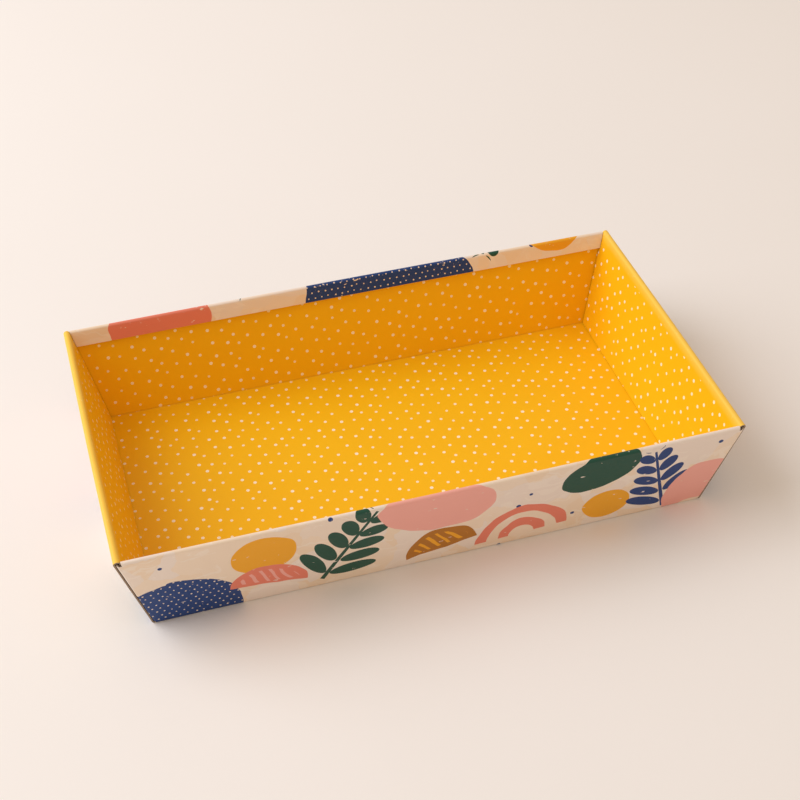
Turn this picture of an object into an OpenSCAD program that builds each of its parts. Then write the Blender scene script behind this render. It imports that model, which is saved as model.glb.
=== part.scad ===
// Open gift tray, folded from one sheet of printed board.
// The long walls end in a hem that is folded inwards. The end walls roll over the corner
// tabs of the long walls and come down again inside, so each end has three layers.
// Origin at the middle of the base, on the table. +X runs along the tray, +Y to its back.

/* [Tray] */
// Outside length over the two end rims
rim_l = 300; // [282:1:340]
// Outside width over the two long rims
rim_w = 173; // [158:1:200]
// Length of the base between the outsides of the end walls
base_l = 274; // [240:1:290]
// Width of the base between the outsides of the long walls
base_w = 150; // [120:1:164]
// Height from the table to the top of the end rims
tray_h = 54; // [30:1:90]
// How much lower the long rims are than the end rims
rim_step = 0.5; // [0:0.1:2]

/* [Board] */
// Thickness of the board
board_t = 0.7; // [0.5:0.05:1.2]
// Space on each side of a corner tab, under the end rims
layer_gap = 0.6; // [0.3:0.05:0.9]
// Inside radius of the creases round the base and down the corners
crease_r = 0.3; // [0.15:0.05:0.8]

/* [Long walls] */
// Depth of the hem inside a long wall, from the top of the rim
hem_d = 9; // [5:0.5:20]
// Space inside the fold of a hem, which stands a little open
hem_loft = 1; // [0.3:0.05:2]
// Space between the ends of a hem and the end walls
hem_gap = 0.2; // [0.1:0.05:1.5]

/* [End walls] */
// Length of the corner tabs inside the end walls, where these are high enough for it
tab_l = 45; // [20:1:58]
// How far the upper edge of a tab falls towards its free end
tab_taper = 4; // [0.5:0.5:10]
// Least height of the free end of a tab
tab_tip = 6; // [2:1:12]
// Space outside the foot of a corner tab, which stands closer to the end wall than its top
foot_room = 0.15; // [0.05:0.05:0.3]
// Space between the corners of the long walls and the end rims above them
rim_gap = 0.3; // [0.1:0.05:0.5]
// How far the foot of the raw side edges lies behind the faces of the long walls
edge_set = 0.4; // [0.1:0.05:0.8]
// How far the ends of the rims lie behind the faces of the long walls
rim_set = 1.4; // [0.8:0.1:4]
// Space beside the inner panel of an end wall
side_gap = 0.4; // [0.2:0.05:1.5]
// Space under the inner panel of an end wall
foot_gap = 0.15; // [0.1:0.05:1]

/* [Hidden] */
// Angle between neighbouring points of a drawn bend
bend_step = 12;
// How much thinner the corner folds are than the board, on each face
fold_thin = 0.02;
// Angle between a tab and an end wall in the flat sheet
cut_room = 1;

// Outside radius of the hem fold
hem_r = board_t + hem_loft / 2;
// Outside radius of an end rim, round three layers
roll_r = (3 * board_t + 2 * layer_gap) / 2;
// Outside radius of a crease
crease_out = board_t + crease_r;

// Height from the table to the top of the long rims
long_h = tray_h - rim_step;

// Angle from upright of a wall whose rim and base have these outside sizes
function lean(rim, base, top, r) =
    let (out = (rim - base) / 2 - r, up = top - r)
    acos(-r / norm([out, up])) - atan2(up, out);
// Length up the outside of a wall, from the table to where its rim starts to curve
function climb(angle, top, r) = (top - r - r * sin(angle)) / cos(angle);
// Length that a crease of this angle takes from each face it joins
function take(angle) = crease_out * tan(angle / 2);

long_lean = lean(rim_w, base_w, long_h, hem_r);
end_lean = lean(rim_l, base_l, tray_h, roll_r);
long_climb = climb(long_lean, long_h, hem_r);
end_climb = climb(end_lean, tray_h, roll_r);
long_take = take(90 - long_lean);
end_take = take(90 - end_lean);

// Angle from upright of the corner tabs
tab_lean = end_lean - atan((layer_gap - foot_room) / end_climb);
// Slant of a corner fold within its long wall, and the angle it is folded by
corner_slant = atan(cos(long_lean) * tan(tab_lean));
corner_turn = acos(sin(long_lean) * sin(tab_lean));
corner_take = take(corner_turn);
// Slant of the long walls' faces within an end wall
end_slant = atan(cos(end_lean) * tan(long_lean));
// Angle from upright of the raw side edges, seen from the end, and their slant in the wall
side_lean = atan(tan(long_lean) - (rim_set - edge_set) / cos(long_lean) / tray_h);
side_slant = atan(cos(end_lean) * tan(side_lean));
// Outside face of the tabs at the table, in from the outside of an end wall
tab_in = board_t + foot_room;
// Foot of the tabs and top of the long walls under an end rim, up the end wall
tab_foot = crease_out + layer_gap;
under_roll = end_climb - rim_gap;
// Radius that is free inside an end rim, and the top of a tab in the middle of it
roll_bore = roll_r - board_t - rim_gap;
tab_top = end_climb + sqrt(max(0, pow(roll_bore, 2) - pow(board_t / 2, 2)));
// Rise of the lower edge of a tab inside the end wall. Less would make the tab and the end
// wall overlap in the flat sheet, where they lie side by side.
tab_rise = corner_slant + end_slant + side_slant + cut_room;
tab_reach = min(tab_l, (tab_top - tab_taper - tab_tip - tab_foot) / tan(tab_rise));
// Foot of the inner panel, up the end wall
panel_foot = (board_t + foot_gap - (2 * roll_r - board_t) * sin(end_lean)) / cos(end_lean);
// Length over which two stretches of the sheet are drawn into each other
lap = board_t;
// Longer than the whole tray, for cuts
past = 2 * rim_l;

// Points and headings down the outside face of a folded strip. Each step is a straight
// length, then a turn to the left and the inside radius of that turn.
function walk(steps, thick, at, heading = 0, i = 0) =
    i == len(steps) ? [] :
    let (
        turn = steps[i][1],
        r = thick + steps[i][2],
        end = at + steps[i][0] * [cos(heading), sin(heading)],
        centre = end + r * [-sin(heading), cos(heading)],
        count = ceil(turn / bend_step),
        bend = [for (k = [1:1:count]) let (h = heading + turn * k / count)
            [centre + r * [sin(h), -cos(h)], h]]
    )
    concat(
        [[at, heading], [end, heading]],
        bend,
        walk(steps, thick, centre + r * [sin(heading + turn), -cos(heading + turn)],
            heading + turn, i + 1)
    );

// Section of a folded strip, with its inside face to the left of its outside face
module strip(steps, at, thick = board_t) {
    outside = walk(steps, thick, at);
    last = len(outside) - 1;
    polygon(concat(
        [for (p = outside) p[0]],
        [for (k = [last:-1:0]) let (h = outside[k][1]) outside[k][0] + thick * [-sin(h), cos(h)]]
    ));
}

// Lays a drawing of X and Z along the whole depth of the tray
module along_y() {
    rotate([90, 0, 0]) linear_extrude(past, center = true) children();
}

// Lays a drawing of Y and Z along the whole length of the tray
module along_x() {
    rotate([90, 0, 90]) linear_extrude(past, center = true) children();
}

// Frame of the right end wall: X straight out of its outside face, Z up its slope
module on_end() {
    translate([base_l / 2, 0, 0]) rotate([0, end_lean, 0]) children();
}

// Frame of the back wall: Y straight out of its outside face, Z up its slope
module on_back() {
    translate([0, base_w / 2, 0]) rotate([-long_lean, 0, 0]) children();
}

// All that lies between two side lines, which start this far in from the faces of the long
// walls and lean out by this angle
module between_sides(inset, angle) {
    foot = base_w / 2 - inset / cos(long_lean);
    rise = 2 * tray_h * tan(angle);
    along_x() polygon([
        [-foot + rise, -2 * tray_h],
        [foot - rise, -2 * tray_h],
        [foot + rise, 2 * tray_h],
        [-foot - rise, 2 * tray_h]
    ]);
}

// Floor of the tray, up to its four creases
module floor_panel() {
    size = [base_l - 2 * end_take, base_w - 2 * long_take, board_t];
    translate([-size.x / 2, -size.y / 2, 0]) cube(size);
}

// Back wall without its corners: crease, panel, rim and hem
module back_wall() {
    // Half length between the corner folds, this far up the slope
    function half(up) = base_l / 2 - tab_in / cos(end_lean) - corner_take / cos(corner_slant)
        + up * tan(corner_slant);
    difference() {
        intersection() {
            along_x() strip([
                [lap, 90 - long_lean, crease_r],
                [long_climb - long_take, 180, hem_loft / 2],
                [hem_d - hem_r, 0, 0]
            ], [base_w / 2 - long_take - lap, 0]);
            on_back() rotate([90, 0, 0]) linear_extrude(past, center = true) polygon([
                [-half(-tray_h), -tray_h],
                [half(-tray_h), -tray_h],
                [half(2 * tray_h), 2 * tray_h],
                [-half(2 * tray_h), 2 * tray_h]
            ]);
        }
        both([1, 0, 0]) {
            roll_room();
            hem_room();
        }
    }
}

// Room that the right end rim needs above the corners of the long walls, less what is free
// inside it
module roll_room() {
    on_end() difference() {
        translate([-2 * roll_r - hem_gap, -past / 2, under_roll]) cube(past);
        translate([-roll_r, 0, end_climb]) rotate([90, 0, 0])
            cylinder(r = roll_bore, h = past, center = true, $fn = 48);
    }
}

// Room that the right end wall needs beyond the end of the back hem
module hem_room() {
    intersection() {
        on_end() translate([-2 * roll_r - hem_gap, -past / 2, -past / 2]) cube(past);
        on_back() translate([-past / 2, -past - board_t - hem_loft / 2, 0]) cube(past);
    }
}

// Corner fold of the back wall and its tab inside the right end wall
module back_tab() {
    difference() {
        intersection() {
            on_back() translate([base_l / 2, 0, 0]) translate([-tab_in / cos(end_lean), 0, 0])
            rotate([0, corner_slant, 0])
            translate([0, 0, -tray_h]) mirror([0, 1, 0]) linear_extrude(3 * tray_h) strip([
                [lap, corner_turn, crease_r + fold_thin],
                [tab_l + (rim_w - base_w) / 2 + lap, 0, 0]
            ], [-corner_take - lap, fold_thin], board_t - 2 * fold_thin);
            on_end() rotate([90, 0, 90]) linear_extrude(past, center = true) polygon([
                [rim_w, tab_foot],
                [base_w / 2, tab_foot],
                [base_w / 2 - tab_reach, tab_foot + tab_reach * tan(tab_rise)],
                [base_w / 2 - tab_reach, tab_top - tab_taper],
                [base_w / 2, tab_top],
                [rim_w, tab_top]
            ]);
        }
        roll_room();
    }
}

// Right end wall: crease, outer panel, rolled rim and inner panel. The inner panel fits
// between the long walls, and is wider than the rim, whose ends stop short of their hems.
module end_wall() {
    intersection() {
        along_y() strip([
            [lap, 90 - end_lean, crease_r],
            [end_climb - end_take, 180, roll_r - board_t],
            [end_climb - panel_foot, 0, 0]
        ], [base_l / 2 - end_take - lap, 0]);
        union() {
            difference() {
                between_sides(edge_set, side_lean);
                inner_room();
            }
            intersection() {
                between_sides(board_t + side_gap, long_lean);
                inner_room();
            }
        }
    }
}

// All that lies inside the right end rim and below its bend
module inner_room() {
    on_end() translate([-past - roll_r, -past / 2, end_climb - past]) cube(past);
}

// Draws a shape and its mirror image along an axis
module both(axis) {
    children();
    mirror(axis) children();
}

// The whole folded sheet
module tray() {
    color("#f3b229") floor_panel();
    color("#efe3d2") both([0, 1, 0]) {
        back_wall();
        both([1, 0, 0]) back_tab();
    }
    color("#f3b229") both([1, 0, 0]) end_wall();
}

tray();
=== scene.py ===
"""Open gift tray, folded from one sheet of printed board.

The sheet is worked out once as a flat die-cut net. Each stretch of it (floor, long walls, end
walls, corner tabs) is a grid of points that the folds carry into place, with an outside and an
inside face one board thickness apart. The net is also the map that the print is laid out on,
so that the print runs over the folds as it does on the real sheet. All sizes are in metres.
"""
from collections import namedtuple

import bpy
import numpy as np
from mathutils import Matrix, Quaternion, Vector


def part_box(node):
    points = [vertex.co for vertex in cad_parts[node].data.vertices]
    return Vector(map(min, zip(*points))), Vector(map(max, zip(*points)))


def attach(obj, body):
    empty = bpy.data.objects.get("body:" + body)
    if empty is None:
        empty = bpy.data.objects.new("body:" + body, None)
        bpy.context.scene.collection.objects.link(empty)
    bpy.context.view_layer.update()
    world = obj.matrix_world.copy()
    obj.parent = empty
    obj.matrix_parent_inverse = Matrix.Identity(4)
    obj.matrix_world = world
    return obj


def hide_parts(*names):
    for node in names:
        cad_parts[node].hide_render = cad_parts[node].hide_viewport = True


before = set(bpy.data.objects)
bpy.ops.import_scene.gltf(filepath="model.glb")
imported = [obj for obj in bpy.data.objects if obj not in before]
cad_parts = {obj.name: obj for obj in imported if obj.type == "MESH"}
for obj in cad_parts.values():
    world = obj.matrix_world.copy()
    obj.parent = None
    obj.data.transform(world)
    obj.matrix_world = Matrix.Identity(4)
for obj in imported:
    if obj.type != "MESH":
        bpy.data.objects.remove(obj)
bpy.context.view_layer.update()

# Sizes of the folded sheet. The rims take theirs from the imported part.
INSIDE_BOX = 0.00001
BASE_L = 0.274
BASE_W = 0.150
BOARD = 0.0007
LAYER_GAP = 0.0006
CREASE_R = 0.0003
RIM_STEP = 0.0005
HEM_D = 0.009
HEM_LOFT = 0.001
HEM_GAP = 0.0002
EDGE_SET = 0.0004
RIM_SET = 0.0014
SIDE_GAP = 0.0004
FOOT_GAP = 0.00015
TAB_L = 0.045
TAB_TAPER = 0.004
FOOT_ROOM = 0.00015
RIM_GAP = 0.0003
CUT_ROOM = np.radians(1)
RIM_BOW = 0.0006
END_BOW = 0.0003
EDGE_BULGE = 0.00005
# Where the yellow of the inner end panels begins below the rim, outside and as dots inside
YELLOW_WRAP = 0.002
PLAIN_MARGIN = 0.005
# Spacing and radius of the pin dots inside, the specks outside and the fine dots on navy
PIN_SPACING, PIN_RADIUS = 0.0076, 0.0008
SPECK_SPACING, SPECK_RADIUS = 0.036, 0.0011
FINE_SPACING, FINE_RADIUS = 0.0036, 0.0004

low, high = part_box("tray")
RIM_L = high.x - low.x - 2 * (INSIDE_BOX + END_BOW)
RIM_W = high.y - low.y - 2 * (INSIDE_BOX + RIM_BOW)
TRAY_H = high.z - INSIDE_BOX
LONG_H = TRAY_H - RIM_STEP

HEM_R = BOARD + HEM_LOFT / 2
ROLL_R = (3 * BOARD + 2 * LAYER_GAP) / 2
CREASE_OUT = BOARD + CREASE_R

# Height of a triangle with sides of 1
HEX_ROW = np.sqrt(3) / 2

SLOTS = ("outside print", "pin dot print", "plain yellow print", "bare board in crevice shade", "raw board edge")
PRINT, DOTS, PLAIN, BARE, RAW = range(5)


def lean(rim, base, top, r):
    """Angle from upright of a wall whose rim circle of radius r touches the outside size rim
    and the height top, and whose outside face starts at the base's edge on the table."""
    out = (rim - base) / 2 - r
    up = top - r
    return np.arccos(-r / np.hypot(out, up)) - np.arctan2(up, out)


def climb(angle, top, r):
    """Length up a wall's outside face, from the table to where its rim starts to curve."""
    return (top - r - r * np.sin(angle)) / np.cos(angle)


def take(angle):
    """Length that a crease of this angle takes from each face it joins."""
    return CREASE_OUT * np.tan(angle / 2)


LONG_LEAN = lean(RIM_W, BASE_W, LONG_H, HEM_R)
END_LEAN = lean(RIM_L, BASE_L, TRAY_H, ROLL_R)
LONG_CLIMB = climb(LONG_LEAN, LONG_H, HEM_R)
END_CLIMB = climb(END_LEAN, TRAY_H, ROLL_R)
LONG_TAKE = take(np.pi / 2 - LONG_LEAN)
END_TAKE = take(np.pi / 2 - END_LEAN)
TAB_LEAN = END_LEAN - np.arctan((LAYER_GAP - FOOT_ROOM) / END_CLIMB)
CORNER_SLANT = np.arctan(np.cos(LONG_LEAN) * np.tan(TAB_LEAN))
CORNER_TURN = np.arccos(np.sin(LONG_LEAN) * np.sin(TAB_LEAN))
CORNER_TAKE = take(CORNER_TURN)
END_SLANT = np.arctan(np.cos(END_LEAN) * np.tan(LONG_LEAN))
SIDE_LEAN = np.arctan(np.tan(LONG_LEAN) - (RIM_SET - EDGE_SET) / np.cos(LONG_LEAN) / TRAY_H)
SIDE_SLANT = np.arctan(np.cos(END_LEAN) * np.tan(SIDE_LEAN))
TAB_IN = BOARD + FOOT_ROOM
TAB_FOOT = CREASE_OUT + LAYER_GAP
UNDER_ROLL = END_CLIMB - RIM_GAP
# Top of the long walls under the end rims, and how much higher the tabs rise inside the rims
CORNER_TOP = UNDER_ROLL * np.cos(CORNER_SLANT) / np.cos(END_SLANT)
TAB_RISE = RIM_GAP + np.sqrt((ROLL_R - BOARD - RIM_GAP) ** 2 - (BOARD / 2) ** 2)
PANEL_FOOT = (BOARD + FOOT_GAP - (2 * ROLL_R - BOARD) * np.sin(END_LEAN)) / np.cos(END_LEAN)

Fold = namedtuple("Fold", "at heading run bend ends")
Patch = namedtuple("Patch", "outer inner net wear outside inside")


def fold_path(start, steps):
    """Rows down the outside face of a folded strip, seen from its side. A step is a straight
    length in a number of pieces, then a turn to the left in a number of pieces on a circle
    whose radius is the board's thickness more than the given inside radius. Returns the rows'
    places, headings and distances along the face, 1 on bends, and each step's last row."""
    at = np.array(start, float)
    heading = 0.0
    run = 0.0
    rows = [[[*at, heading, run, 0.0]]]
    ends = []
    for length, pieces, turn, bends, inside in steps:
        along = np.linspace(0, length, pieces + 1)[1:]
        ahead = np.array([np.cos(heading), np.sin(heading)])
        straight = np.zeros((pieces, 5))
        straight[:, :2] = at + along[:, None] * ahead
        straight[:, 2] = heading
        straight[:, 3] = run + along
        rows.append(straight)
        at = at + length * ahead
        run += length
        if turn:
            radius = BOARD + inside
            centre = at + radius * np.array([-ahead[1], ahead[0]])
            angle = np.linspace(0, turn, bends + 1)[1:]
            h = heading + angle
            arc = np.ones((bends, 5))
            arc[:, :2] = centre + radius * np.stack([np.sin(h), -np.cos(h)], 1)
            arc[:, 2] = h
            arc[:, 3] = run + radius * angle
            rows.append(arc)
            at = arc[-1, :2]
            heading += turn
            run += radius * turn
        ends.append(sum(len(r) for r in rows) - 1)
    table = np.concatenate([np.asarray(r, float) for r in rows])
    return Fold(table[:, :2], table[:, 2], table[:, 3], table[:, 4], ends)


def inside_of(fold):
    """The inside face of a folded strip: one board thickness to the left of its outside."""
    left = np.stack([-np.sin(fold.heading), np.cos(fold.heading)], 1)
    return fold.at + BOARD * left


def spread(inner, outer, count):
    """Fractions across a strip: even steps out to each inner value, then the outer values."""
    ends = np.sort(np.append(outer, inner))
    middle = np.linspace(-inner, inner, count + 1)
    return np.concatenate([-ends[::-1][:-1], middle, ends[1:]])


def wall_half(up):
    """Half length of a long wall between its corner folds, this far up its slope."""
    foot = BASE_L / 2 - TAB_IN / np.cos(END_LEAN) - CORNER_TAKE / np.cos(CORNER_SLANT)
    return foot + up * np.tan(CORNER_SLANT)


def hem_half(z):
    """Half length of a hem at this height: up to a gap before the end wall's three layers."""
    across = z * np.sin(END_LEAN) - 2 * ROLL_R - HEM_GAP
    return BASE_L / 2 + across / np.cos(END_LEAN)


def side_half(z, inset, angle):
    """Half width at this height between two side lines, which start this far in from the long
    walls' faces and lean out by this angle."""
    return BASE_W / 2 - inset / np.cos(LONG_LEAN) + z * np.tan(angle)


def long_fold():
    """Rows of a long wall, from the floor's edge: crease, foot, stretch beside the tab, rim
    and hem."""
    return fold_path([BASE_W / 2 - LONG_TAKE, 0], [
        (0, 0, np.pi / 2 - LONG_LEAN, 8, CREASE_R),
        (TAB_FOOT - LONG_TAKE, 1, 0, 0, 0),
        (CORNER_TOP - TAB_FOOT, 14, 0, 0, 0),
        (LONG_CLIMB - CORNER_TOP, 1, np.pi, 18, HEM_LOFT / 2),
        (HEM_D - HEM_R, 3, 0, 0, 0),
    ])


def end_fold():
    """Rows of an end wall, from the floor's edge: crease, outer panel, rolled rim, the plain
    margin below it and the inner panel down to its foot."""
    return fold_path([BASE_L / 2 - END_TAKE, 0], [
        (0, 0, np.pi / 2 - END_LEAN, 8, CREASE_R),
        (END_CLIMB - END_TAKE - YELLOW_WRAP, 12, 0, 0, 0),
        (YELLOW_WRAP, 1, np.pi, 20, ROLL_R - BOARD),
        (PLAIN_MARGIN - ROLL_R, 1, 0, 0, 0),
        (END_CLIMB - PANEL_FOOT - PLAIN_MARGIN + ROLL_R, 12, 0, 0, 0),
    ])


def bow(across, height, depth):
    """How far a wall springs out: most at the middle of its rim, nothing at its corners and
    foot, as (1 - across^2)^2 times the square of the height."""
    return depth * (1 - across ** 2) ** 2 * (height / TRAY_H) ** 2


def wall_patch(fold, rows, half, fractions):
    """Stretch of the back wall: each row is a line along X, as long as half says."""
    x = half[:, None] * fractions[None, :]
    full = wall_half(CORNER_TOP)
    faces = []
    for side in (fold.at, inside_of(fold)):
        y = side[rows, 0][:, None] + bow(np.clip(x / full, -1, 1), side[rows, 1][:, None], RIM_BOW)
        z = side[rows, 1][:, None] + 0 * x
        faces.append(np.stack([x, y, z], 2))
    v = (BASE_W / 2 - LONG_TAKE + fold.run[rows])[:, None] + 0 * x
    wear = fold.bend[rows][:, None] + 0 * x
    return Patch(*faces, np.stack([x, v], 2), wear, PRINT, DOTS)


def long_wall():
    """The back wall's patches: the lower one reaches to the corner folds, and the upper one
    with the rim and hem is shorter, to leave room for the end rims."""
    fold = long_fold()
    split = fold.ends[2]
    foot_rows = np.arange(0, fold.ends[2] + 1)
    top_rows = np.arange(split, len(fold.run))
    up = (fold.at[:, 0] - BASE_W / 2) * np.sin(LONG_LEAN) + fold.at[:, 1] * np.cos(LONG_LEAN)
    short = hem_half(fold.at[top_rows, 1])
    share = short[0] / wall_half(up[split])
    fractions = spread(share, np.array([1.0]), 44)
    lower = wall_patch(fold, foot_rows, wall_half(up[foot_rows]), fractions)
    upper = wall_patch(fold, top_rows, short, fractions[1:-1] / share)
    return [lower, upper]


def corner_tab():
    """Corner fold of the back wall and its tab, at the right end. Points are placed by their
    distance w up the fold line and their distance q across it: round an arc of CORNER_TURN,
    then straight on behind the outer panel of the end wall. The tab's lower and upper edges
    run at fixed slopes, and its free end is upright. Its inside face is glued against the end
    wall and given bare grey-brown board; where it shows in the corner crevice, this darker
    board is a painted shade for the crevice."""
    fold = long_fold()
    rows = np.arange(fold.ends[1], fold.ends[2] + 1)
    up = (fold.at[rows, 0] - BASE_W / 2) * np.sin(LONG_LEAN) + fold.at[rows, 1] * np.cos(LONG_LEAN)
    w0 = (up - CORNER_TAKE * np.sin(CORNER_SLANT)) / np.cos(CORNER_SLANT)
    bend = np.linspace(0, CORNER_TURN, 9)
    corner = np.pi / 2 - CORNER_SLANT - SIDE_SLANT - CUT_ROOM
    low_slope = 1 / np.tan(corner)
    high_slope = -np.tan(END_SLANT + np.arctan(TAB_TAPER / TAB_L))
    slope = np.linspace(low_slope, high_slope, len(rows))
    reach = (TAB_L + w0 * np.sin(END_SLANT)) / (np.cos(END_SLANT) - slope * np.sin(END_SLANT))
    q = reach[:, None] * np.linspace(0, 1, 9)[None, 1:]
    w = np.concatenate([w0[:, None] + 0 * bend[None, :], w0[:, None] + q * slope[:, None]], 1)
    w[:, 1:] += TAB_RISE * np.linspace(0, 1, len(rows))[:, None]
    q = np.concatenate([np.zeros((len(rows), len(bend))), q], 1)
    h = np.concatenate([bend, np.full(8, CORNER_TURN)])[None, :]

    lift = np.array([0, np.sin(LONG_LEAN), np.cos(LONG_LEAN)])
    out = np.array([0, np.cos(LONG_LEAN), -np.sin(LONG_LEAN)])
    along = np.array([1.0, 0, 0])
    fold_line = np.sin(CORNER_SLANT) * along + np.cos(CORNER_SLANT) * lift
    across = np.cos(CORNER_SLANT) * along - np.sin(CORNER_SLANT) * lift
    origin = np.array([BASE_L / 2 - TAB_IN / np.cos(END_LEAN), BASE_W / 2, 0])
    faces = []
    for radius in (CREASE_OUT, CREASE_R):
        a = -CORNER_TAKE + radius * np.sin(h) + q * np.cos(h)
        b = -CREASE_OUT + radius * np.cos(h) - q * np.sin(h)
        faces.append(origin + w[:, :, None] * fold_line + a[:, :, None] * across + b[:, :, None] * out)
    flat = CREASE_OUT * h + q - CORNER_TAKE
    u = origin[0] + w * np.sin(CORNER_SLANT) + flat * np.cos(CORNER_SLANT)
    crease_run = fold.run[rows[0]] - up[0]
    climbed = w * np.cos(CORNER_SLANT) - flat * np.sin(CORNER_SLANT)
    v = BASE_W / 2 - LONG_TAKE + crease_run + climbed
    wear = np.concatenate([np.ones(9), np.zeros(8)])[None, :] + 0 * u
    return [Patch(*faces, np.stack([u, v], 2), wear, PRINT, BARE)]


def end_patch(fold, rows, half, fractions, outside):
    """Stretch of the right end wall: each row is a line along Y, as long as half says. Its
    inside face is hidden between the layers and glued, and is given bare grey-brown board;
    where it shows in the corner crevices, this darker board is a painted shade for them."""
    y = -half[:, None] * fractions[None, :]
    full = side_half(TRAY_H, 0, LONG_LEAN)
    faces = []
    for side in (fold.at, inside_of(fold)):
        x = side[rows, 0][:, None] + bow(np.clip(y / full, -1, 1), side[rows, 1][:, None], END_BOW)
        z = side[rows, 1][:, None] + 0 * y
        faces.append(np.stack([x, y, z], 2))
    u = (BASE_L / 2 - END_TAKE + fold.run[rows])[:, None] + 0 * y
    wear = fold.bend[rows][:, None] + 0 * y
    return Patch(*faces, np.stack([u, y], 2), wear, outside, BARE)


def end_wall():
    """The right end wall's patches, one for each stretch of print. Its foot reaches nearly to
    the long walls' outsides and its rim stops short of their hems. The inner panel fits
    between the long walls, and is wider there than the rim."""
    fold = end_fold()
    outer = side_half(fold.at[:, 1], EDGE_SET, SIDE_LEAN)
    inner = side_half(fold.at[:, 1], BOARD + SIDE_GAP, LONG_LEAN)
    crease, wrap, roll, margin, foot = fold.ends
    floor_share = (BASE_W / 2 - LONG_TAKE) / outer[0]
    panel_share = inner[roll] / outer[roll]
    shares = np.sort([floor_share, panel_share, 1])
    fractions = spread(shares[0], shares[1:], 26)
    patches = []
    for half, share, stretches in (
        (outer, 1, ((0, wrap, PRINT), (wrap, roll, PLAIN))),
        (inner, panel_share, ((roll, margin, PLAIN), (margin, foot, DOTS))),
    ):
        across = fractions[np.abs(fractions) <= share + 1e-9] / share
        for first, last, outside in stretches:
            rows = np.arange(first, last + 1)
            patches.append(end_patch(fold, rows, half[rows], across, outside))
    return patches


def floor_panel():
    """The floor between its four creases, with the same columns and rows as the walls that
    it joins, so that their points meet."""
    x = long_wall()[0].net[0, :, 0]
    edge = BASE_L / 2 - END_TAKE
    x = np.concatenate([[-edge], x, [edge]])
    y = end_wall()[0].net[0, ::-1, 1]
    y = y[np.abs(y) <= BASE_W / 2 - LONG_TAKE + 1e-9]
    flat = np.stack(np.broadcast_arrays(x[None, :], y[:, None]), 2)
    outer = np.concatenate([flat, 0 * flat[:, :, :1]], 2)
    inner = outer + [0, 0, BOARD]
    return [Patch(outer, inner, flat, 0 * flat[:, :, 0], PRINT, DOTS)]


def mirrored(patches, sign_x, sign_y):
    """The patches seen in a mirror. A mirror turns faces inside out, so the columns are put
    in the other order where one sign is negative."""
    signs = np.array([sign_x, sign_y, 1.0])
    order = slice(None, None, -1 if sign_x * sign_y < 0 else 1)
    made = []
    for p in patches:
        made.append(Patch(
            (p.outer * signs)[:, order], (p.inner * signs)[:, order],
            (p.net * signs[:2])[:, order], p.wear[:, order], p.outside, p.inside,
        ))
    return made


def sheet_patches():
    """Every stretch of the sheet, right and left, back and front."""
    patches = floor_panel()
    for sign_y in (1, -1):
        patches += mirrored(long_wall(), 1, sign_y)
        for sign_x in (1, -1):
            patches += mirrored(corner_tab(), sign_x, sign_y)
    for sign_x in (1, -1):
        patches += mirrored(end_wall(), sign_x, 1)
    return patches


def grid_quads(rows, columns, first):
    """Quads of a grid whose points are numbered row by row from first."""
    number = first + np.arange(rows * columns).reshape(rows, columns)
    corners = (number[:-1, :-1], number[1:, :-1], number[1:, 1:], number[:-1, 1:])
    return np.stack(corners, 2).reshape(-1, 4)


def joined(patches):
    """One sheet from its patches. Points with the same place on the flat net are one point.
    Returns net, outer, inner, wear, quads and the print of each quad outside and inside."""
    sizes = [p.wear.size for p in patches]
    firsts = np.concatenate([[0], np.cumsum(sizes)[:-1]])
    quads = [grid_quads(*p.wear.shape, first) for p, first in zip(patches, firsts)]
    prints = [np.tile([p.outside, p.inside], (len(q), 1)) for p, q in zip(patches, quads)]
    net = np.concatenate([p.net.reshape(-1, 2) for p in patches])
    keys = np.round(net * 1e8).astype(np.int64)
    _, kept, number = np.unique(keys, axis=0, return_index=True, return_inverse=True)
    outer = np.concatenate([p.outer.reshape(-1, 3) for p in patches])[kept]
    inner = np.concatenate([p.inner.reshape(-1, 3) for p in patches])[kept]
    wear = np.concatenate([p.wear.reshape(-1) for p in patches])[kept]
    quads = number.reshape(-1)[np.concatenate(quads)]
    return net[kept], outer, inner, wear, quads, np.concatenate(prints)


def cut_edges(quads):
    """The sides of quads that belong to one quad alone, each as (from, to): the sheet's
    outline, where the board is cut."""
    sides = np.stack([quads, np.roll(quads, -1, 1)], 2).reshape(-1, 2)
    keys = np.sort(sides, 1)
    _, number, counts = np.unique(keys, axis=0, return_inverse=True, return_counts=True)
    return sides[counts[number.reshape(-1)] == 1]


def edge_directions(edges, outer, inner):
    """Unit vectors out of the cut edge at each point of the outline, in the sheet's plane:
    the edge's direction crossed with the direction through the board, summed and levelled."""
    through = outer - inner
    ahead = outer[edges[:, 1]] - outer[edges[:, 0]]
    out = np.cross(ahead, through[edges[:, 0]])
    out /= np.linalg.norm(out, axis=1)[:, None]
    total = np.zeros_like(outer)
    np.add.at(total, edges[:, 0], out)
    np.add.at(total, edges[:, 1], out)
    size = np.linalg.norm(total, axis=1)[:, None]
    return total / np.where(size > 0, size, 1)


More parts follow.
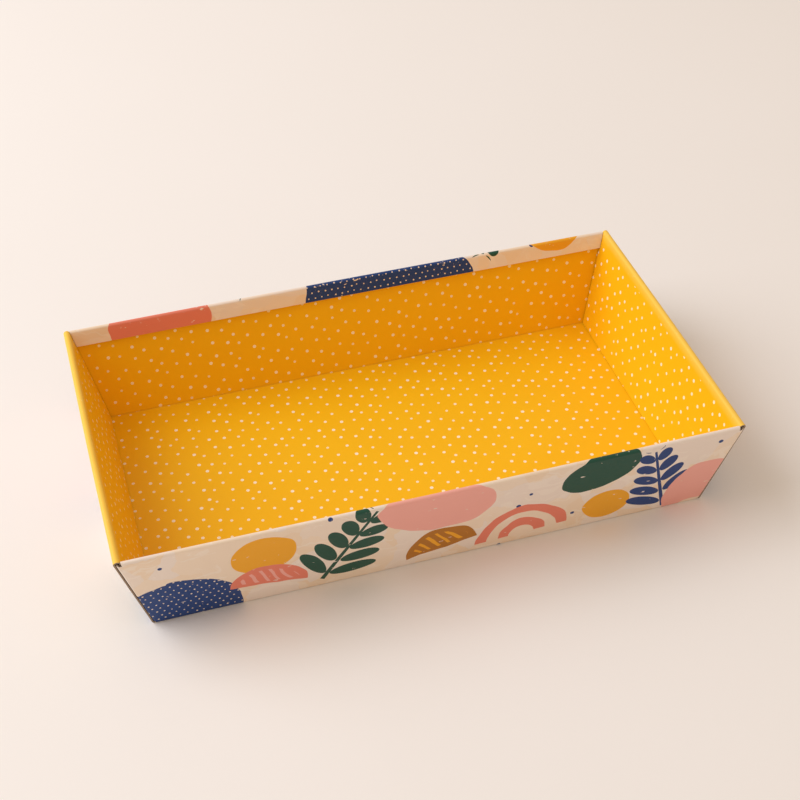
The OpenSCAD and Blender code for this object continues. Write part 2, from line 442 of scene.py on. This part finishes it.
def folded_sheet():
    """The whole tray as one closed mesh: outside faces, inside faces, and across each cut
    edge four narrow quads that bulge a little, as a die-cut edge does."""
    net, outer, inner, wear, quads, prints = joined(sheet_patches())
    edges = cut_edges(quads)
    out = edge_directions(edges, outer, inner)
    rim = np.unique(edges)
    place = np.zeros(len(net), int)
    place[rim] = np.arange(len(rim))
    depths = (0.15, 0.5, 0.85)
    swell = EDGE_BULGE * np.array([0.75, 1.0, 0.75])
    points = [outer, inner]
    ply = [np.zeros(len(net)), np.ones(len(net))]
    nets = [net, net]
    wears = [wear, wear]
    for depth, rise in zip(depths, swell):
        points.append(((1 - depth) * outer + depth * inner + rise * out)[rim])
        ply.append(np.full(len(rim), depth))
        nets.append(net[rim])
        wears.append(wear[rim])
    count = len(net)
    levels = [edges]
    levels += [2 * count + k * len(rim) + place[edges] for k in range(len(depths))]
    levels += [edges + count]
    faces = [quads, quads[:, ::-1] + count]
    slots = [prints[:, 0], prints[:, 1]]
    for near, far in zip(levels[:-1], levels[1:]):
        faces.append(np.stack([near[:, 1], near[:, 0], far[:, 0], far[:, 1]], 1))
        slots.append(np.full(len(edges), RAW))
    return mesh_object(
        "folded_sheet", np.concatenate(points), np.concatenate(faces), np.concatenate(slots),
        np.concatenate(nets), {"ply": np.concatenate(ply), "fold_rub_and_light": np.concatenate(wears)},
    )


def mesh_object(name, points, faces, slots, net, values):
    """A mesh from whole arrays, with its net as a UV map and each value as an attribute."""
    mesh = bpy.data.meshes.new(name)
    mesh.from_pydata(points, [], faces.tolist())
    mesh.polygons.foreach_set("material_index", slots.astype(np.int32))
    mesh.polygons.foreach_set("use_smooth", np.ones(len(faces), bool))
    uv = mesh.uv_layers.new(name="net")
    uv.data.foreach_set("uv", net[faces.reshape(-1)].astype(np.float32).reshape(-1))
    for key, value in values.items():
        attribute = mesh.attributes.new(key, "FLOAT", "POINT")
        attribute.data.foreach_set("value", value.astype(np.float32))
    mesh.update()
    mesh.validate()
    mesh.set_sharp_from_angle(angle=np.radians(35))
    made = bpy.data.objects.new(name, mesh)
    bpy.context.scene.collection.objects.link(made)
    return made


def ink(code):
    """Linear colour of an sRGB hex code."""
    srgb = np.array([int(code[i:i + 2], 16) for i in (1, 3, 5)]) / 255
    linear = np.where(srgb <= 0.04045, srgb / 12.92, ((srgb + 0.055) / 1.055) ** 2.4)
    return (*linear.tolist(), 1.0)


class Wires:
    """Adds nodes to a tree and joins them, so that a chain of nodes reads as a formula."""

    def __init__(self, tree):
        self.tree = tree

    def node(self, kind, inputs=None, **settings):
        made = self.tree.nodes.new(kind)
        for key, value in settings.items():
            setattr(made, key, value)
        for key, value in (inputs or {}).items():
            self.put(made.inputs[key], value)
        return made

    def put(self, socket, value):
        if isinstance(value, bpy.types.NodeSocket):
            self.tree.links.new(value, socket)
        else:
            socket.default_value = value

    def math(self, operation, *values):
        return self.node("ShaderNodeMath", dict(enumerate(values)), operation=operation).outputs[0]

    def mix(self, mask, under, over):
        """The colour under, covered by the colour over where the mask is 1."""
        made = self.node("ShaderNodeMix", {0: mask, 6: under, 7: over}, data_type="RGBA")
        return made.outputs[2]

    def noise(self, vector, scale, detail=2.0, rough=0.5, size="3D"):
        inputs = {"Vector": vector, "Scale": scale, "Detail": detail, "Roughness": rough}
        return self.node("ShaderNodeTexNoise", inputs, noise_dimensions=size).outputs[0]

    def split(self, vector):
        return self.node("ShaderNodeSeparateXYZ", {0: vector}).outputs

    def group(self, tree, inputs):
        made = self.tree.nodes.new("ShaderNodeGroup")
        made.node_tree = tree
        for key, value in inputs.items():
            self.put(made.inputs[key], value)
        return made.outputs

    def above(self, value, edge, soft):
        """0 where the value is soft below the edge, 1 where it is soft above it."""
        inputs = {"Value": value, "From Min": edge - soft, "From Max": edge + soft}
        return self.node("ShaderNodeMapRange", inputs, interpolation_type="SMOOTHSTEP").outputs[0]


def new_group(name, inputs, outputs):
    """An empty shader node group with these sockets: (tree, wires, its inputs, its result)."""
    tree = bpy.data.node_groups.new(name, "ShaderNodeTree")
    kinds = {"vector": "NodeSocketVector", "value": "NodeSocketFloat", "colour": "NodeSocketColor"}
    for key, kind, default in inputs:
        socket = tree.interface.new_socket(key, in_out="INPUT", socket_type=kinds[kind])
        if default is not None:
            socket.default_value = default
    for key, kind in outputs:
        tree.interface.new_socket(key, in_out="OUTPUT", socket_type=kinds[kind])
    wires = Wires(tree)
    return tree, wires, wires.node("NodeGroupInput").outputs, wires.node("NodeGroupOutput").inputs


def board_grain():
    """Surface of printed board: Height is a fine tooth over a slight unevenness of about a
    millimetre, and Tone drifts slowly over some centimetres."""
    tree, w, given, result = new_group(
        "Board grain", [("Vector", "vector", None)], [("Height", "value"), ("Tone", "value")])
    uneven = w.noise(given["Vector"], 700, 3)
    tooth = w.noise(given["Vector"], 4200, 2)
    w.put(result["Height"], w.math("MULTIPLY_ADD", tooth, 0.35, w.math("MULTIPLY", uneven, 0.65)))
    w.put(result["Tone"], w.noise(given["Vector"], 22, 3))
    return tree


def rubbed_fold():
    """Where ink is rubbed thin: on folds, broken up by noise. Wear is 1 on a fold."""
    tree, w, given, result = new_group(
        "Rubbed fold", [("Vector", "vector", None), ("Wear", "value", 0.0), ("Amount", "value", 0.5)],
        [("Mask", "value")])
    patchy = w.noise(given["Vector"], 420, 4, 0.65)
    reach = w.math("MULTIPLY_ADD", given["Amount"], 0.35, 0.32)
    worn = w.math("MULTIPLY", given["Wear"], w.math("SUBTRACT", reach, patchy))
    w.put(result["Mask"], w.node(
        "ShaderNodeMapRange", {"Value": worn, "From Min": 0.0, "From Max": 0.12}).outputs[0])
    return tree


def pin_dots():
    """Small discs strewn evenly, as a printer lays them: each stands near a corner of a grid
    of equal triangles, moved at random by up to Jitter of the Spacing. The triangles are the
    squares of a plain grid, skewed, so the nearest corner is looked up on the squares and the
    way to it is skewed back. Tone is a number of its own for each dot."""
    tree, w, given, result = new_group(
        "Pin dots",
        [("Vector", "vector", None), ("Spacing", "value", PIN_SPACING), ("Radius", "value", PIN_RADIUS),
         ("Jitter", "value", 0.4)],
        [("Mask", "value"), ("Tone", "value")])
    x, y, _ = w.split(given["Vector"])
    row = w.math("DIVIDE", y, w.math("MULTIPLY", given["Spacing"], HEX_ROW))
    column = w.math("MULTIPLY_ADD", row, -0.5, w.math("DIVIDE", x, given["Spacing"]))
    square = w.node("ShaderNodeCombineXYZ", {0: column, 1: row}).outputs[0]
    cells = w.node("ShaderNodeTexVoronoi", {
        "Vector": square, "Scale": 1.0, "Randomness": given["Jitter"],
    }, voronoi_dimensions="2D").outputs
    middle = w.split(cells["Position"])
    rows_off = w.math("SUBTRACT", row, middle[1])
    columns_off = w.math("SUBTRACT", column, middle[0])
    across = w.math("MULTIPLY_ADD", rows_off, 0.5, columns_off)
    away = w.math("SQRT", w.math("MULTIPLY_ADD", across, across, w.math(
        "POWER", w.math("MULTIPLY", rows_off, HEX_ROW), 2.0)))
    tone = w.split(cells["Color"])[0]
    radius = w.math("MULTIPLY", given["Radius"], w.math("MULTIPLY_ADD", tone, 0.3, 0.85))
    w.put(result["Mask"], w.math("LESS_THAN", w.math("MULTIPLY", away, given["Spacing"]), radius))
    w.put(result["Tone"], tone)
    return tree


def shape_group(name, mask_of):
    """A group for one kind of paper shape. Vector runs from -1 to 1 along and across the
    shape, and Wobble moves its outline in and out. mask_of gives the mask's formula."""
    tree, w, given, result = new_group(
        name, [("Vector", "vector", None), ("Wobble", "value", 0.0)], [("Mask", "value")])
    x, y, _ = w.split(given["Vector"])
    w.put(result["Mask"], mask_of(w, x, y, given["Wobble"]))
    return tree


def from_centre(w, x, y, wobble):
    """Distance from the middle of a shape, plus the wobble of its outline."""
    squares = w.math("ADD", w.math("MULTIPLY", x, x), w.math("MULTIPLY", y, y))
    return w.math("ADD", w.math("SQRT", squares), wobble)


def pebble(w, x, y, wobble):
    """All that lies within 1 of the middle."""
    return w.math("LESS_THAN", from_centre(w, x, y, wobble), 1.0)


def half_moon(w, x, y, wobble):
    """The upper half of a pebble."""
    upper = w.math("GREATER_THAN", w.math("ADD", y, wobble), 0.0)
    return w.math("MULTIPLY", pebble(w, x, y, wobble), upper)


def arches(w, x, y, wobble):
    """Two bows, one in the other: the stretches from 1 to 0.74 and from 0.52 to 0.28 of the
    way out, above the middle."""
    away = from_centre(w, x, y, wobble)
    bands = None
    for outside, inside in ((1.0, 0.74), (0.52, 0.28)):
        within = w.math("LESS_THAN", away, outside)
        band = w.math("MULTIPLY", within, w.math("GREATER_THAN", away, inside))
        bands = band if bands is None else w.math("MAXIMUM", bands, band)
    return w.math("MULTIPLY", bands, w.math("GREATER_THAN", y, 0.0))


def sprig(w, x, y, wobble):
    """A straight stem with pairs of oval leaflets. Each leaflet is an oval in its own cell of
    a row that slants forward by 0.45 of the distance from the stem, and the pairs get shorter
    towards the tip."""
    aside = w.math("ABSOLUTE", y)
    slanted = w.math("SUBTRACT", x, w.math("MULTIPLY", aside, 0.45))
    cells = w.math("MULTIPLY", w.math("ADD", slanted, 1.0), 2.6)
    along = w.math("MULTIPLY", w.math("SUBTRACT", w.math("FRACT", cells), 0.5), 2.3)
    shrink = w.math("MULTIPLY_ADD", slanted, -0.32, 0.66)
    outward = w.math("SUBTRACT", w.math("DIVIDE", w.math("MULTIPLY", aside, 2.0), shrink), 1.12)
    leaflet = w.math("LESS_THAN", from_centre(w, along, outward, wobble), 0.98)
    inside = w.math("LESS_THAN", w.math("ABSOLUTE", slanted), 0.98)
    leaflets = w.math("MULTIPLY", leaflet, inside)
    stem = w.math("LESS_THAN", w.math("ADD", aside, w.math("MULTIPLY", x, 0.012)), 0.045)
    stem = w.math("MULTIPLY", stem, w.math("LESS_THAN", w.math("ABSOLUTE", x), 1.0))
    return w.math("MAXIMUM", leaflets, stem)


def hatching(w, x, y, wobble):
    """Slanting strokes inside a half-moon, between 0.1 and 0.8 of the way out."""
    slanted = w.math("ADD", w.math("MULTIPLY_ADD", y, 0.5, x), w.math("MULTIPLY", wobble, 1.6))
    stroke = w.math("LESS_THAN", w.math("FRACT", w.math("MULTIPLY", slanted, 3.4)), 0.34)
    within = w.math("LESS_THAN", from_centre(w, x, y, wobble), 0.8)
    raised = w.math("GREATER_THAN", y, 0.14)
    return w.math("MULTIPLY", stroke, w.math("MULTIPLY", within, raised))


SHAPES = {
    "pebble": pebble, "half moon": half_moon, "hatching": hatching, "arches": arches, "sprig": sprig,
}

INKS = {
    "cream": ink("#f3dfc9"),
    "cool cream": ink("#f0e3da"),
    "warm cream": ink("#f0d6b8"),
    "pale cream": ink("#f8ecdf"),
    "pink": ink("#f2aea2"),
    "coral": ink("#e8836c"),
    "mustard": ink("#f2ab22"),
    "ochre": ink("#b5741f"),
    "green": ink("#1f4f40"),
    "navy": ink("#21407c"),
    "yellow": ink("#fbc30c"),
    "deep yellow": ink("#f7ba07"),
    # Painted highlight: a paler yellow laid on the rolled rims' bends.
    "rim highlight yellow": ink("#fddb78"),
    # Painted shade: a darker yellow laid in the creases of the dotted inside.
    "crease shade yellow": ink("#cf9104"),
    "dot": ink("#fff4dc"),
}

# Cut-paper shapes on the outside, wall by wall as seen from outside: shape, ink, middle along
# the wall and up it, half length and half width, and turn in degrees. Sizes in millimetres.
FRONT = (
    ("pebble", "navy", -124, 4, 30, 27, 12),
    ("pebble", "mustard", -84, 37, 15, 14, 0),
    ("half moon", "coral", -82, 12, 19, 15, -8),
    ("hatching", "pink", -82, 12, 19, 15, -8),
    ("sprig", "green", -44, 29, 27, 21, 62),
    ("pebble", "pink", -2, 44, 29, 17, -9),
    ("half moon", "ochre", 2, 9, 18, 17, 14),
    ("hatching", "mustard", 2, 9, 18, 17, 14),
    ("arches", "coral", 42, 6, 23, 24, 4),
    ("pebble", "green", 78, 44, 20, 13, 24),
    ("pebble", "mustard", 84, 15, 12, 11, 0),
    ("sprig", "navy", 110, 26, 25, 18, 104),
    ("half moon", "pink", 137, 3, 22, 30, 8),
)
BACK = (
    ("pebble", "coral", 101, 60, 27, 19, 5),
    ("half moon", "navy", 118, 4, 26, 26, -6),
    ("sprig", "green", 66, 28, 26, 20, 118),
    ("pebble", "mustard", 32, 16, 15, 14, 0),
    ("pebble", "navy", -24, 64, 46, 25, -3),
    ("arches", "ochre", -12, 3, 22, 23, -5),
    ("half moon", "pink", -52, 8, 21, 19, 10),
    ("hatching", "coral", -52, 8, 21, 19, 10),
    ("sprig", "green", -86, 30, 27, 19, 70),
    ("pebble", "mustard", -118, 46, 17, 15, 0),
    ("pebble", "coral", -128, 10, 22, 14, -20),
)
LEFT = (
    ("pebble", "pink", -52, 12, 28, 19, 14),
    ("sprig", "navy", -10, 28, 24, 18, 96),
    ("pebble", "mustard", 26, 34, 14, 13, 0),
    ("half moon", "green", 56, 4, 24, 27, -4),
    ("hatching", "mustard", 56, 4, 24, 27, -4),
)
RIGHT = (
    ("half moon", "navy", -56, 4, 25, 27, 5),
    ("pebble", "coral", -20, 38, 18, 12, -16),
    ("arches", "mustard", 16, 5, 22, 24, 0),
    ("sprig", "green", 56, 28, 25, 19, 80),
)


def on_wall(wall, along, up, turn):
    """Place and turn on the flat net of a spot on a wall, as seen from outside."""
    side = BASE_W / 2
    end = BASE_L / 2
    turn = np.radians(turn)
    return {
        "front": ((along, -side - up, 0), -turn),
        "back": ((-along, side + up, 0), np.pi - turn),
        "left": ((-end - up, -along, 0), -np.pi / 2 - turn),
        "right": ((end + up, along, 0), np.pi / 2 - turn),
    }[wall]


def new_material(name):
    """A node material: (material, wires, its Principled BSDF)."""
    material = bpy.data.materials.new(name)
    material.use_nodes = True
    return material, Wires(material.node_tree), material.node_tree.nodes["Principled BSDF"]


def finish_board(w, shader, groups, colour, worn, worn_colour):
    """What all printed faces share: rubbed folds, grain in the height and the roughness."""
    place = w.node("ShaderNodeTexCoord").outputs["Object"]
    grain = w.group(groups["grain"], {"Vector": place})
    colour = w.mix(worn, colour, worn_colour)
    w.put(shader.inputs["Base Color"], colour)
    rough = w.math("MULTIPLY_ADD", grain["Height"], 0.16, 0.40)
    w.put(shader.inputs["Roughness"], w.math("MULTIPLY_ADD", worn, 0.2, rough))
    shader.inputs["Specular IOR Level"].default_value = 0.3
    bump = w.node("ShaderNodeBump", {"Height": grain["Height"], "Strength": 0.35, "Distance": 0.00006})
    w.put(shader.inputs["Normal"], bump.outputs[0])


def worn_mask(w, groups, amount):
    """Mask of rubbed ink, from the folds' attribute."""
    place = w.node("ShaderNodeTexCoord").outputs["Object"]
    wear = w.node("ShaderNodeAttribute", attribute_name="fold_rub_and_light").outputs["Fac"]
    return w.group(groups["rub"], {"Vector": place, "Wear": wear, "Amount": amount})["Mask"]


def yellow_print(groups, name, dotted):
    """Warm yellow with white pin dots, or plain. The plain ink is painted paler on the rims' bends,
    a painted highlight, and the dotted ink is painted darker in the creases, a painted shade."""
    material, w, shader = new_material(name)
    net = w.node("ShaderNodeUVMap", uv_map="net").outputs[0]
    place = w.node("ShaderNodeTexCoord").outputs["Object"]
    tone = w.group(groups["grain"], {"Vector": place})["Tone"]
    colour = w.mix(tone, INKS["deep yellow"], INKS["yellow"])
    if dotted:
        turned = w.node("ShaderNodeMapping", {"Vector": net, "Rotation": (0, 0, np.radians(17))})
        dots = w.group(groups["dots"], {
            "Vector": turned.outputs[0], "Spacing": PIN_SPACING, "Radius": PIN_RADIUS, "Jitter": 0.42,
        })
        cover = w.math("MULTIPLY", dots["Mask"], w.math("MULTIPLY_ADD", dots["Tone"], 0.25, 0.75))
        colour = w.mix(cover, colour, INKS["dot"])
    wear = w.node("ShaderNodeAttribute", attribute_name="fold_rub_and_light").outputs["Fac"]
    # Painted light on the bends: a paler yellow as a painted highlight on the plain rims, a darker yellow
    # as a painted shade in the dotted creases.
    bent = INKS["crease shade yellow"] if dotted else INKS["rim highlight yellow"]
    colour = w.mix(w.math("MULTIPLY", wear, 0.4), colour, bent)
    finish_board(w, shader, groups, colour, worn_mask(w, groups, 0.2), ink("#fcd77c"))
    return material


def mottled_cream(w, net):
    """Cream ground, brushed unevenly: the plane falls into bent cells of some 15 mm, each with
    a tone of its own from cool to warm, and a few paler strokes run over them."""
    pull = w.node("ShaderNodeTexNoise", {"Vector": net, "Scale": 40.0, "Detail": 3.0},
                  noise_dimensions="2D").outputs["Color"]
    bent = w.node("ShaderNodeVectorMath", {0: pull, 1: (0.022, 0.022, 0.0), 2: net},
                  operation="MULTIPLY_ADD").outputs[0]
    cells = w.node("ShaderNodeTexVoronoi", {"Vector": bent, "Scale": 62.0}, voronoi_dimensions="2D")
    tone = w.split(cells.outputs["Color"])[0]
    cool = w.math("MULTIPLY", w.above(tone, 0.62, 0.14), 0.75)
    colour = w.mix(cool, INKS["cream"], INKS["cool cream"])
    warm = w.math("MULTIPLY", w.math("SUBTRACT", 1.0, w.above(tone, 0.26, 0.1)), 0.5)
    colour = w.mix(warm, colour, INKS["warm cream"])
    slanted = w.node("ShaderNodeMapping", {"Vector": bent, "Rotation": (0, 0, 0.7), "Scale": (1, 2.8, 1)})
    inputs = {"Vector": slanted.outputs[0], "Scale": 46.0, "Detail": 4.0, "Distortion": 1.2}
    noise = w.node("ShaderNodeTexNoise", inputs, noise_dimensions="2D").outputs[0]
    return w.mix(w.math("MULTIPLY", w.above(noise, 0.60, 0.03), 0.45), colour, INKS["pale cream"])


def outside_print(groups):
    """The print outside: cut-paper shapes in flat inks on mottled cream, with a few navy
    specks. All shapes share one wobble of their outlines and one set of dry flecks."""
    material, w, shader = new_material(SLOTS[PRINT])
    net = w.node("ShaderNodeUVMap", uv_map="net").outputs[0]
    colour = mottled_cream(w, net)
    wobble = w.math("MULTIPLY_ADD", w.noise(net, 62, 1.5, 0.5, "2D"), 0.20, -0.10)
    streaks = w.node("ShaderNodeMapping", {"Vector": net, "Rotation": (0, 0, 0.5), "Scale": (1, 3, 1)})
    fleck = w.above(w.noise(streaks.outputs[0], 150, 3, 0.55, "2D"), 0.74, 0.01)
    solid = w.math("SUBTRACT", 1.0, fleck)
    specks = w.group(groups["dots"], {
        "Vector": net, "Spacing": SPECK_SPACING, "Radius": SPECK_RADIUS, "Jitter": 0.9,
    })
    colour = w.mix(specks["Mask"], colour, INKS["navy"])
    fine = w.group(groups["dots"], {
        "Vector": net, "Spacing": FINE_SPACING, "Radius": FINE_RADIUS, "Jitter": 0.2,
    })
    for wall, shapes in (("front", FRONT), ("back", BACK), ("left", LEFT), ("right", RIGHT)):
        for shape, name, along, up, half_l, half_w, turn in shapes:
            at, angle = on_wall(wall, along / 1000, up / 1000, turn)
            local = w.node("ShaderNodeMapping", {
                "Vector": net, "Location": at, "Rotation": (0, 0, angle),
                "Scale": (half_l / 1000, -half_w / 1000, 1),
            }, vector_type="TEXTURE")
            mask = w.group(groups[shape], {"Vector": local.outputs[0], "Wobble": wobble})["Mask"]
            mask = w.math("MULTIPLY", mask, solid)
            filled = INKS[name]
            if name == "navy" and shape != "sprig":
                filled = w.mix(fine["Mask"], INKS["navy"], INKS["cream"])
            colour = w.mix(mask, colour, filled)
    finish_board(w, shader, groups, colour, worn_mask(w, groups, 0.15), INKS["pale cream"])
    return material


def raw_board(groups):
    """Cut edge of grey-brown board: thin plies across its thickness, fibres, rough."""
    material, w, shader = new_material(SLOTS[RAW])
    place = w.node("ShaderNodeTexCoord").outputs["Object"]
    ply = w.node("ShaderNodeAttribute", attribute_name="ply").outputs["Fac"]
    fibres = w.noise(place, 1500, 4, 0.6)
    bands = w.math("SINE", w.math("MULTIPLY_ADD", ply, 34.0, w.math("MULTIPLY", fibres, 7.0)))
    colour = w.mix(w.math("MULTIPLY_ADD", bands, 0.3, 0.5), ink("#8d7866"), ink("#b09b88"))
    lining = w.above(w.math("ABSOLUTE", w.math("SUBTRACT", ply, 0.5)), 0.44, 0.02)
    colour = w.mix(lining, colour, ink("#d9c6ad"))
    w.put(shader.inputs["Base Color"], colour)
    shader.inputs["Roughness"].default_value = 0.9
    shader.inputs["Specular IOR Level"].default_value = 0.2
    height = w.math("MULTIPLY_ADD", bands, 0.3, fibres)
    bump = w.node("ShaderNodeBump", {"Height": height, "Strength": 0.6, "Distance": 0.0001})
    w.put(shader.inputs["Normal"], bump.outputs[0])
    return material


def bare_board(groups):
    """Unprinted grey-brown side of the board, hidden between the layers of the end walls. Where
    it shows in the corner crevices, its darkness is a painted shade for them.
    """
    material, w, shader = new_material(SLOTS[BARE])
    place = w.node("ShaderNodeTexCoord").outputs["Object"]
    fibres = w.noise(place, 1100, 4, 0.65)
    w.put(shader.inputs["Base Color"], w.mix(fibres, ink("#76604f"), ink("#a08a78")))
    shader.inputs["Roughness"].default_value = 0.85
    shader.inputs["Specular IOR Level"].default_value = 0.2
    height = w.group(groups["grain"], {"Vector": place})["Height"]
    bump = w.node("ShaderNodeBump", {"Height": height, "Strength": 0.5, "Distance": 0.0001})
    w.put(shader.inputs["Normal"], bump.outputs[0])
    return material


def dress(sheet):
    """Gives the sheet its finishes, in the order of SLOTS."""
    groups = {"grain": board_grain(), "rub": rubbed_fold(), "dots": pin_dots()}
    for name, mask_of in SHAPES.items():
        groups[name] = shape_group("Shape " + name, mask_of)
    sheet.data.materials.append(outside_print(groups))
    sheet.data.materials.append(yellow_print(groups, SLOTS[DOTS], True))
    sheet.data.materials.append(yellow_print(groups, SLOTS[PLAIN], False))
    sheet.data.materials.append(bare_board(groups))
    sheet.data.materials.append(raw_board(groups))


# Camera: where it stands, what it looks at on the table, its tilt and its angle of view
CAMERA_AT = Vector((-0.1546, -0.5621, 0.5377))
CAMERA_AIM = Vector((0.0164, 0.0420, 0.0))
CAMERA_ROLL = np.radians(-1.19)
CAMERA_ANGLE = np.radians(29.07)


def add_camera():
    """The photograph's view, from a little above, in front and to the left."""
    data = bpy.data.cameras.new("camera")
    data.sensor_fit = "HORIZONTAL"
    data.angle = CAMERA_ANGLE
    data.clip_start = 0.01
    camera = bpy.data.objects.new("camera", data)
    camera.location = CAMERA_AT
    camera.rotation_mode = "QUATERNION"
    aim = (CAMERA_AIM - CAMERA_AT).to_track_quat("-Z", "Y")
    camera.rotation_quaternion = aim @ Quaternion((0, 0, 1), CAMERA_ROLL)
    bpy.context.scene.collection.objects.link(camera)
    bpy.context.scene.camera = camera


def add_lamp(name, at, aim, size, watts, colour):
    """A square soft lamp that faces a point."""
    data = bpy.data.lights.new(name, "AREA")
    data.size = size
    data.energy = watts
    data.color = colour
    lamp = bpy.data.objects.new(name, data)
    lamp.location = at
    lamp.rotation_mode = "QUATERNION"
    lamp.rotation_quaternion = (Vector(aim) - Vector(at)).to_track_quat("-Z", "Y")
    bpy.context.scene.collection.objects.link(lamp)


def add_light():
    """A large soft window on the left, a little behind the tray, and a warm pale room."""
    add_lamp("window", (-1.55, 0.58, 1.42), (0.0, 0.0, 0.0), 1.9, 35, (0.96, 1.0, 1.07))
    world = bpy.data.worlds.new("room")
    world.use_nodes = True
    shade = world.node_tree.nodes["Background"]
    shade.inputs["Color"].default_value = (1.0, 0.83, 0.665, 1)
    shade.inputs["Strength"].default_value = 0.615
    bpy.context.scene.world = world


def add_floor():
    """A wide pale sheet of backdrop paper, a hair under the tray."""
    half = 6.0
    step = np.linspace(-half, half, 13)
    x, y = np.meshgrid(step, step)
    points = np.stack([x, y, np.full_like(x, -0.0001)], 2).reshape(-1, 3)
    quads = grid_quads(13, 13, 0)[:, ::-1]
    mesh = bpy.data.meshes.new("backdrop_floor")
    mesh.from_pydata(points, [], quads.tolist())
    made = bpy.data.objects.new("backdrop_floor", mesh)
    bpy.context.scene.collection.objects.link(made)
    material, w, shader = new_material("backdrop paper")
    place = w.node("ShaderNodeTexCoord").outputs["Object"]
    w.put(shader.inputs["Base Color"], w.mix(w.noise(place, 6, 2), ink("#f4f1ef"), ink("#f6f3f2")))
    shader.inputs["Roughness"].default_value = 0.85
    shader.inputs["Specular IOR Level"].default_value = 0.2
    fibres = w.noise(place, 900, 3)
    bump = w.node("ShaderNodeBump", {"Height": fibres, "Strength": 0.1, "Distance": 0.0001})
    w.put(shader.inputs["Normal"], bump.outputs[0])
    mesh.materials.append(material)


add_camera()
add_light()
add_floor()

sheet = folded_sheet()
dress(sheet)
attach(sheet, "root")
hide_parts("tray")

bpy.context.scene.view_settings.view_transform = "Standard"
